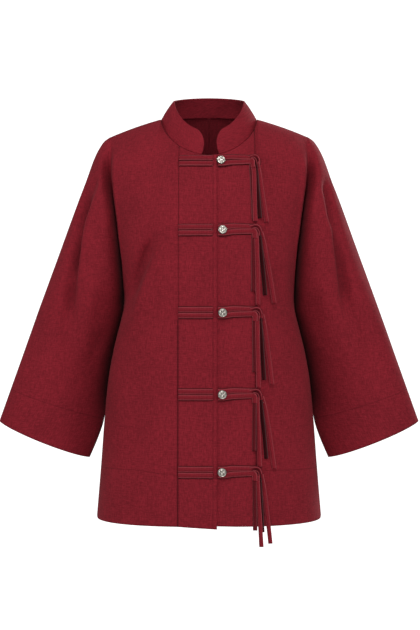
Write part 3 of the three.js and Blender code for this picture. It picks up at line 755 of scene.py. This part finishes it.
def raise_details(shell, face, body_ids, sleeve_ids, across, share, t):
    """Finer creases, unevenness of the cloth, and the cloth's rise beside the seams, all outwards."""
    seed = {"front": 11, "back": 23}[face] + int(shell.points[0, 0] > 0)
    x, z = shell.points[:, 0], shell.points[:, 2]
    creases = fold_height(CREASES, face, x, z)
    height = creases + soft_noise(x + 0.4 * z, z, 55, seed) + 0.3 * soft_noise(x, z, 17, seed + 5)

    # None of it at seams and rims, but all of it beside the fold between body and sleeve.
    hold = np.ones(len(shell.points))
    hold[body_ids] = smooth(across / 14) * smooth((1 - share**2) / 0.12)
    hold[sleeve_ids] = smooth(t / 0.1) * smooth((1 - t) / 0.1)
    hold[body_ids[UPPER, -1]] = 1
    hold[body_ids[UPPER]] = np.where(share[UPPER] > 0.9, 1, hold[body_ids[UPPER]]) * smooth(DOWN / 0.12)
    ridge = np.zeros(len(shell.points))
    ridge[body_ids] = seam_ridge(across)
    ridge[sleeve_ids] = SLEEVE_RIDGE
    ridge[shell.rim()] = hold[shell.rim()] = 0
    shell.points += shell.normals() * (height * hold + ridge)[:, None]
    # Painted shade in the deepest creases.
    sharp = np.clip((-creases * hold - CREASE_SHADE_FROM) / CREASE_SHADE_SPAN, 0, 1)
    shell.data["deep"] = np.maximum(shell.data["deep"], CREASE_SHADE * sharp)


# Each panel's face and side, where its centre seam lies, and the neck's share of its columns.
PANELS = {
    "front_right": ("front", -1, RIGHT_SEAM, 3 / 8),
    "front_left": ("front", 1, LEFT_SEAM, 0.08),
    "back_right": ("back", -1, 0, 5 / 10),
    "back_left": ("back", 1, 0, 5 / 10),
}
for node, (face, side, seam_x, neck_share) in PANELS.items():
    shell, flat = panel(face, side, seam_x, neck_share)
    add_sheet(node, shell, shaded=1.0)


# ---- Front bands ----
BAND_STITCH = BAND_EDGE - STRAP_END  # from the edge in to the row of stitches beside it


def covered_by(x):
    """How far cloth lies back where the right band laps over it, easing out beside the band."""
    return BAND_STEP * (1 - smooth((x - BAND_EDGE - 3) / 30))


def rounded(distance, reach):
    """The share of the thickness left near a rounded rim."""
    return RIM_SHARE + (1 - RIM_SHARE) * np.sqrt(np.clip(distance / reach, 0, 1))


def front_band(seam_x, edge_x, under):
    """A band from its seam to its free edge. The one that lies under steps back below the other."""
    shell = Shell()
    width = abs(edge_x - seam_x)
    by_seam, by_edge = [0, 0.6, 1.5, 3], [width - 3, width - 1.6, width - 0.7, width]
    steps = np.concatenate([by_seam, np.linspace(5, width - 5, 14), by_edge])
    share = (steps / width)[None, :]
    x = mix(seam_x, edge_x, share)
    top_y, top_z = top_edge("front", x)
    hem = HEM_Z + (HIDDEN_RISE if under else -BAND_DROP) * share
    z = mix(top_z, hem, BODY_ROWS[:, None])
    points = body_point("front", x + 0 * z, z, top_y, top_z, 1)
    if under:
        points[..., 1] += covered_by(points[..., 0])
    along, across = arc(points, 0), arc(points, 1)
    hem_run = along - along[ROWS_ABOVE + ROWS_BELOW][None, :]
    edge_run = across - (across[:, -1:] - BAND_STITCH)
    nearer_edge = np.abs(edge_run) < np.abs(hem_run)
    ids = shell.add(
        points, u=across, v=along[-1:] - along, run=np.where(nearer_edge, along, across),
        stitch=stitch_run(np.where(nearer_edge, edge_run, hem_run)),
        wall=np.where(hem_run > -0.5, CLOTH + HEM_LAYER, BAND_CLOTH),
        deep=SEAM_SHADE * bell(steps, 1.1)[None, :] + 0 * z,
    )
    shell.skin(ids, edge_x < seam_x)
    uneven = 0.3 * soft_noise(points[..., 0], points[..., 2], 40, 31 + under)
    lift = seam_ridge(steps[None, :] + 0 * z) + uneven * (smooth((width - steps) / 8) * smooth(steps / 8))[None, :]
    lift[0], lift[-1] = 0, lift[-2]
    shell.lift(ids, lift)
    rounding = np.zeros(len(shell.points))
    rounding[ids] = rounded(width - steps, 1.6)[None, :]
    return shell, rounding, (across.max() * MM, along.max() * MM)


for node, seam_x, edge_x, under in (
    ("band_right", RIGHT_SEAM, BAND_EDGE, False),
    ("band_left", LEFT_SEAM, BAND_HIDDEN, True),
):
    shell, rounding, flat = front_band(seam_x, edge_x, under)
    add_sheet(node, shell, rounding)


# ---- Collar ----
def collar_point(angle, share):
    """Points at an angle round the neck from the middle of the front, and at a share of the way up."""
    s, c = np.sin(angle), np.cos(angle)
    front = c > 0
    bend = np.abs(c) ** (2 * NECK_BEND)
    low = np.stack([
        -NECK_HALF * s,
        -c * np.where(front, NECK_FRONT, NECK_BACK),
        np.where(front, -NECK_DROP, NECK_RISE) * bend,
    ], -1)
    high = np.stack([
        -COLLAR_TOP_HALF * s,
        -c * np.where(front, COLLAR_TOP_FRONT, COLLAR_TOP_BACK),
        COLLAR_SIDE_RISE + np.where(front, -COLLAR_FRONT_FALL, COLLAR_BACK_RISE) * bend,
    ], -1)
    up, out = unit(high - low), np.stack([-s, -c, 0 * s], -1)
    point = mix(low, high, share[..., None]) + up * ((1 - share) * SEAM_GAP)[..., None]
    point[..., 1] += np.where((s < 0) & front, covered_by(low[..., 0]) * (1 - share), 0)
    return point + out * (COLLAR_BOW * np.sin(np.pi * share))[..., None]


def collar_end(least, share):
    """The angle at which the collar ends. It flares at its foot, and its upper corner is round."""
    low = np.maximum(0, 1 - share / COLLAR_SQUARE)
    high = np.maximum(0, (share - COLLAR_SQUARE) / (1 - COLLAR_SQUARE))
    return least + COLLAR_FLARE * low**2 + COLLAR_CORNER * (1 - np.sqrt(1 - np.minimum(1, high) ** 2))


def collar(rows=14, columns=220):
    shell = Shell()
    upper = 1 - 0.5 * (1 - np.cos(np.linspace(0, math.pi / 2, rows)))
    share = np.concatenate([upper, np.linspace(0.5, 0, rows)[1:]])[:, None]
    start = collar_end(COLLAR_RIGHT_END, share)
    end = 2 * math.pi - collar_end(COLLAR_LEFT_END, share)
    close_at_ends = 0.5 - 0.5 * np.cos(np.linspace(0, math.pi, columns))
    t = (close_at_ends * 0.5 + np.linspace(0, 1, columns) * 0.5)[None, :]
    points = collar_point(mix(start, end, t), share + 0 * t)
    across, along = arc(points, 1), arc(points, 0)
    ids = shell.add(points, u=across, v=-along, wall=COLLAR_CLOTH)
    shell.skin(ids, True)
    to_rim = np.minimum(np.minimum(across, across[:, -1:] - across), along)
    shell.lift(ids, 0.25 * soft_noise(across, along, 26, 41) * smooth(to_rim / 8))
    return shell, rounded(to_rim, 1.4).ravel(), (across.max() * MM, along.max() * MM)


shell, rounding, flat = collar()
add_sheet("collar", shell, rounding)


# ---- Ties, knots and buttons ----
SECTION = 16  # points round a strap
ABOVE = np.array([0, 0, 1.0])


def strap_mesh(name, at, across, out, width, thickness, material, lip=0.0):
    """A flat, round-edged strap through a row of points, sewn shut along one edge.

    Where a strap lies on cloth, its foot is wider by the lip at each edge, and painted dark as the shadow under the
    strap.
    """
    angle = np.linspace(0, 2 * math.pi, SECTION, endpoint=False)
    w = np.sign(np.cos(angle)) * np.abs(np.cos(angle)) ** 0.75 * width / 2
    h = np.sign(np.sin(angle)) * np.abs(np.sin(angle)) ** 0.85 * thickness / 2
    foot = np.sin(angle) < -0.1
    w = w + np.sign(w) * lip * foot
    rings = at[:, None, :] + across[:, None, :] * w[None, :, None] + out[:, None, :] * h[None, :, None]
    points = np.vstack([rings.reshape(-1, 3), at[:1], at[-1:]])
    count, around = len(at), [(k, (k + 1) % SECTION) for k in range(SECTION)]
    faces = []
    for start in range(0, (count - 1) * SECTION, SECTION):
        faces += [[start + k, start + q, start + q + SECTION, start + k + SECTION] for k, q in around]
    first, last = count * SECTION, count * SECTION + 1
    faces += [[first, q, k] for k, q in around]
    faces += [[last, first - SECTION + k, first - SECTION + q] for k, q in around]
    run = np.concatenate([[0], np.cumsum(np.linalg.norm(np.diff(at, axis=0), axis=1))])
    run = np.concatenate([np.repeat(run, SECTION), run[:1], run[-1:]])
    w_all = np.concatenate([np.tile(w, count), [0, 0]])
    dark = np.concatenate([np.tile(foot, count), [False, False]]) * (FOOT_SHADE if lip else 0)
    return make_mesh(name, points, faces, material, {
        "u": w_all,
        "v": run,
        "run": run,
        "stitch": w_all + width / 2 - STITCH_INSET,
        "edge": np.where(dark > 0, 0, np.abs(w_all) * 2 / width),
        "deep": dark,
    })


def frames_of(at, out):
    ahead = unit(np.gradient(at, axis=0))
    across = unit(np.cross(out, ahead))
    return across, unit(np.cross(ahead, across))


def turned(closure, place_in, runs):
    """How far a strand is turned on edge: the front right one comes off the knot on edge and lies down lower."""
    sway = (-1) ** place_in * 0.16 * np.sin(runs / 31 + place_in) * smooth((runs - 14) / 20)
    if place_in == 1:
        return sway + mix(1.2, 0.45, smooth(runs / 45))
    if place_in == 3:
        return sway + 0.7
    return sway + closure["twist"] * smooth(runs / 10)


def strand_path(closure, place_in, runs):
    """Where a strand hangs, at distances down from the knot, and which way is out from the cloth there."""
    length, sway = closure["ends"][place_in]
    right, behind = place_in % 2 == 1, place_in > 1
    t = np.clip(runs / length, 0, 1)
    x = KNOT_X + STRAND_X[place_in] + closure["aside"] + sway * (t ** closure["bow"] if right else t)
    z = closure["z"] - runs
    raised = 0 if behind else TIE_THICKNESS + 0.9
    on_edge = 0.35 * STRAND_WIDTH * np.abs(np.sin(turned(closure, place_in, runs)))
    on_cloth = np.maximum(z, HEM_Z + 4)
    at = off_front(x, on_cloth, TIE_LIFT + STRAND_THICKNESS / 2 + raised + on_edge)
    at[:, 2] = z
    return at, front_normal(x, on_cloth)


def strand(name, closure, place_in, start, end):
    """A stretch of a strand, and its middle line."""
    runs = np.linspace(start, end, max(6, int((end - start) / 2.5)))
    at, normal = strand_path(closure, place_in, runs)
    turn = turned(closure, place_in, runs)
    across, out = frames_of(at, normal)
    across, out = (
        across * np.cos(turn)[:, None] + out * np.sin(turn)[:, None],
        out * np.cos(turn)[:, None] - across * np.sin(turn)[:, None],
    )
    look = BACK_TIE_LOOKS.get(place_in, TIE_LOOK)
    return strap_mesh(name, at, across, out, STRAND_WIDTH, STRAND_THICKNESS, look), at


def cross_strap(name, closure, side, start, end):
    """A stretch of strap over a band. Its sewn end sinks into the cloth."""
    x = np.linspace(start, end, int((end - start) / 1.2))
    t = (x - RIGHT_SEAM - 1) / (KNOT_X - RIGHT_SEAM - 1)
    drawn_in = mix(1, 0.72, smooth((t - 0.6) / 0.4))  # the two straps come together at the knot
    z = closure["z"] + side * drawn_in * TIE_APART / 2 + TIE_STEP * smooth((x - closure["button_x"]) / 20)
    sewn = smooth(1 - (x - start) / 3) + (smooth(1 - (end - x) / 3) if end < KNOT_X else 0)
    at = off_front(x, z, STRAP_LIFT + STRAP_THICKNESS / 2 - STRAP_SINK * sewn)
    across, out = frames_of(at, front_normal(x, z))
    return strap_mesh(name, at, across, out, STRAP_WIDTH, STRAP_THICKNESS, TIE_LOOK, lip=STRAP_LIP)


def local_ribbon(name, closure, waypoints, width, thickness, on_edge):
    """A short ribbon of the knot, through points given as right, up and out from the knot's middle."""
    way = np.array(waypoints, float)
    order = np.arange(len(way), dtype=float)
    steps = np.linspace(0, len(way) - 1, 12 * (len(way) - 1) + 1)
    path = np.stack([curve({"order": order, "way": column}, "order", "way", steps) for column in way.T], -1)
    base, normal = front_point(KNOT_X, closure["z"]), front_normal(KNOT_X, closure["z"])
    right = unit(np.cross(ABOVE, normal))
    up = np.cross(normal, right)
    at = base + path[:, :1] * right + path[:, 1:2] * up + path[:, 2:] * normal
    middle = base + normal * 2
    across, out = frames_of(at, unit(at - middle + normal * 3))
    if on_edge:
        across, out = out, -across
    return strap_mesh(name, at, across, out, width, thickness, TIE_LOOK, lip=KNOT_LIP)


# The knot's turns: on edge or not, width, thickness and path. The upper strap goes over on edge and down at the
# right, the lower one turns down in front at the left, and a short turn crosses between them.
KNOT_RIBBONS = {
    "over": (True, 5.2, 2.4, [
        (-12, 5.2, 1.8), (-6, 6.6, 4.0), (-1, 6.9, 5.2), (3.2, 4.4, 5.6), (5.8, -1.5, 5.4), (6.6, -9, 5.0),
    ]),
    "wrap": (False, 8.6, 2.4, [
        (-10, -3.4, 1.6), (-6.6, -1.6, 4.2), (-4.6, -3.5, 5.4), (-4.4, -8, 5.0), (-4.4, -14, 4.4),
    ]),
    "cross": (True, 6.0, 2.2, [
        (-7, 1.2, 2.6), (-3.6, 2.6, 5.6), (0.2, 0.6, 6.4), (2.2, -4.0, 5.2), (2.8, -9, 3.2),
    ]),
}


def button(name, closure):
    """A silver-coloured metal button: a raised rim round a shallow dish with a plain ring of petals."""
    rings, spokes = 26, 72
    around = np.linspace(0, 2 * math.pi, spokes, endpoint=False)
    r, a = np.meshgrid(np.linspace(0, 1, rings), around, indexing="ij")
    dish = BUTTON_HEIGHT - BUTTON_RIM + BUTTON_DISH * (1 - r**2)
    rim = BUTTON_RIM * bell(r - 0.9, 0.07)
    petals = PETAL_HEIGHT * bell(r - 0.46, 0.2) * (0.5 + 0.5 * np.cos(PETALS * a))
    edge = -BUTTON_EDGE * np.clip((r - 0.93) / 0.07, 0, 1) ** 2
    top = dish + rim + petals + edge

    place_on = closure["button_x"], closure["z"]
    normal = front_normal(*place_on)
    right = unit(np.cross(normal, ABOVE))
    up = np.cross(right, normal)
    base = off_front(*place_on, TIE_LIFT + TIE_THICKNESS + SEAM_GAP)
    flat = (r * BUTTON_RADIUS)[..., None] * (np.cos(a)[..., None] * right + np.sin(a)[..., None] * up)
    front, back = base + flat + top[..., None] * normal, base + flat[-1] * 0.8
    points = np.vstack([front.reshape(-1, 3), back, base[None, :]])
    faces = []
    for i in range(rings + 1):
        for k in range(spokes):
            p, q = i * spokes + k, i * spokes + (k + 1) % spokes
            if i == 0:
                faces.append([p, p + spokes, q + spokes])
            elif i < rings:
                faces.append([p, p + spokes, q + spokes, q])
            else:
                faces.append([p, (rings + 1) * spokes, q])

    # Dark between the petals, with painted shade inside the rim and a painted shadow over its edge and underneath.
    between = smooth(1 - np.abs(r - 0.4) / 0.36) * (0.5 - 0.5 * np.cos(PETALS * a)) ** 2
    dark = np.maximum(0.9 * between, 0.5 * bell(r - 0.8, 0.06))
    dark = np.maximum(dark, 0.95 * smooth((r - 0.9) / 0.06))
    deep = np.concatenate([dark.ravel(), np.full(len(back) + 1, 0.9)])
    nowhere = np.zeros(len(points))
    piece = make_mesh(name, points, faces, METAL_LOOK, {"u": nowhere, "v": nowhere, "deep": deep})
    merge(piece)
    return piece


def merge(piece):
    """Welds points that lie in one place, and turns all faces outwards."""
    bm = bmesh.new()
    bm.from_mesh(piece.data)
    bmesh.ops.remove_doubles(bm, verts=bm.verts, dist=0.00001)
    bmesh.ops.recalc_face_normals(bm, faces=bm.faces)
    bm.to_mesh(piece.data)
    bm.free()


for number, closure in enumerate(CLOSURES, 1):
    node = f"tie_{number}"
    for part, side in (("upper", 1), ("lower", -1)):
        place(cross_strap(f"{node}_strap_{part}_right", closure, side, RIGHT_SEAM + 1, STRAP_END), "tie", node)
        place(cross_strap(f"{node}_strap_{part}_left", closure, side, STRAP_START, KNOT_X), "tie", node)
    for part, (on_edge, width, thickness, waypoints) in KNOT_RIBBONS.items():
        place(local_ribbon(f"{node}_knot_{part}", closure, waypoints, width, thickness, on_edge), "tie")
    for place_in, end in enumerate(END_NAMES):
        place(strand(f"{node}_top_{end}", closure, place_in, 3, KNOT_STUB)[0], "tie")
        length = closure["ends"][place_in][0] - KNOT_STUB
        piece, path = strand(f"{node}_end_{end}_cloth", closure, place_in, KNOT_STUB, KNOT_STUB + length)
        place(piece, "tie", f"{node}_end_{end}")
    place(button(f"button_{number}_metal", closure), "metal", f"button_{number}")


# ---- Camera, light and stage ----
CAMERA_AWAY, CAMERA_X, CAMERA_Z = 2.4, 0.00175, -0.341
FRAME_HEIGHT = 1.1025  # of the picture, at the shirt's middle
SENSOR = 36
BACKDROP, WORLD_LIGHT = 1.0, 0.27
FLOOR_Z, FLOOR_RADIUS, FLOOR_SIDES = -1.45, 9.0, 64
# Each lamp's name and place, what it points at, its size and its power.
LAMPS = (
    ("front", (-0.2, -3.0, 0.5), (0, 0, -0.35), 1.0, 19),
    ("above", (0.0, -1.9, 2.0), (0, 0, -0.3), 0.45, 23),
    ("left", (-2.3, -1.4, 0.8), (0, 0, -0.3), 0.9, 12.5),
    ("right", (2.3, -1.4, 0.8), (0, 0, -0.3), 0.9, 12.5),
    ("back", (1.9, 2.1, 1.0), (0, 0, -0.35), 1.0, 52),
)


def add_camera():
    data = bpy.data.cameras.new("camera")
    data.sensor_fit = "VERTICAL"
    data.sensor_height = SENSOR
    data.lens = SENSOR * CAMERA_AWAY / FRAME_HEIGHT
    camera = add_object("camera", data, (CAMERA_X, -CAMERA_AWAY, CAMERA_Z))
    camera.rotation_euler = (math.pi / 2, 0, 0)
    bpy.context.scene.camera = camera
    bpy.context.scene.view_settings.view_transform = "Standard"


def add_area(name, location, target, size, watts):
    data = bpy.data.lights.new(name, "AREA")
    data.shape = "DISK"
    data.size = size
    data.energy = watts
    light = add_object(name, data, location)
    light.rotation_euler = (Vector(target) - Vector(location)).to_track_quat("-Z", "Y").to_euler()


def add_stage():
    """A plain white floor, out of the picture below the shirt. To the camera it is as bright as what is behind."""
    turn = np.linspace(0, 2 * math.pi, FLOOR_SIDES, endpoint=False)
    points = np.stack([FLOOR_RADIUS * np.cos(turn), FLOOR_RADIUS * np.sin(turn), 0 * turn + FLOOR_Z], -1) / MM
    n = Nodes("stage")
    n.finish({
        "Base Color": (0.93, 0.93, 0.93, 1),
        "Roughness": 0.95,
        "Emission Color": (1, 1, 1, 1),
        "Emission Strength": n.math("MULTIPLY", n.add("ShaderNodeLightPath"), BACKDROP),
    })
    make_mesh("stage", points, [list(range(FLOOR_SIDES))], n.material)


def add_world():
    """An even, dim light all round, which the camera sees as a white backdrop."""
    world = bpy.data.worlds.new("world")
    world.use_nodes = True
    tree = world.node_tree
    background = tree.nodes["Background"]
    background.inputs["Color"].default_value = (1, 1, 1, 1)
    seen = tree.nodes.new("ShaderNodeLightPath")
    bright = tree.nodes.new("ShaderNodeMath")
    bright.operation = "MULTIPLY_ADD"
    tree.links.new(seen.outputs[0], bright.inputs[0])
    bright.inputs[1].default_value = BACKDROP
    bright.inputs[2].default_value = WORLD_LIGHT
    tree.links.new(bright.outputs[0], background.inputs["Strength"])
    bpy.context.scene.world = world


add_camera()
add_world()
for lamp in LAMPS:
    add_area(*lamp)
add_stage()
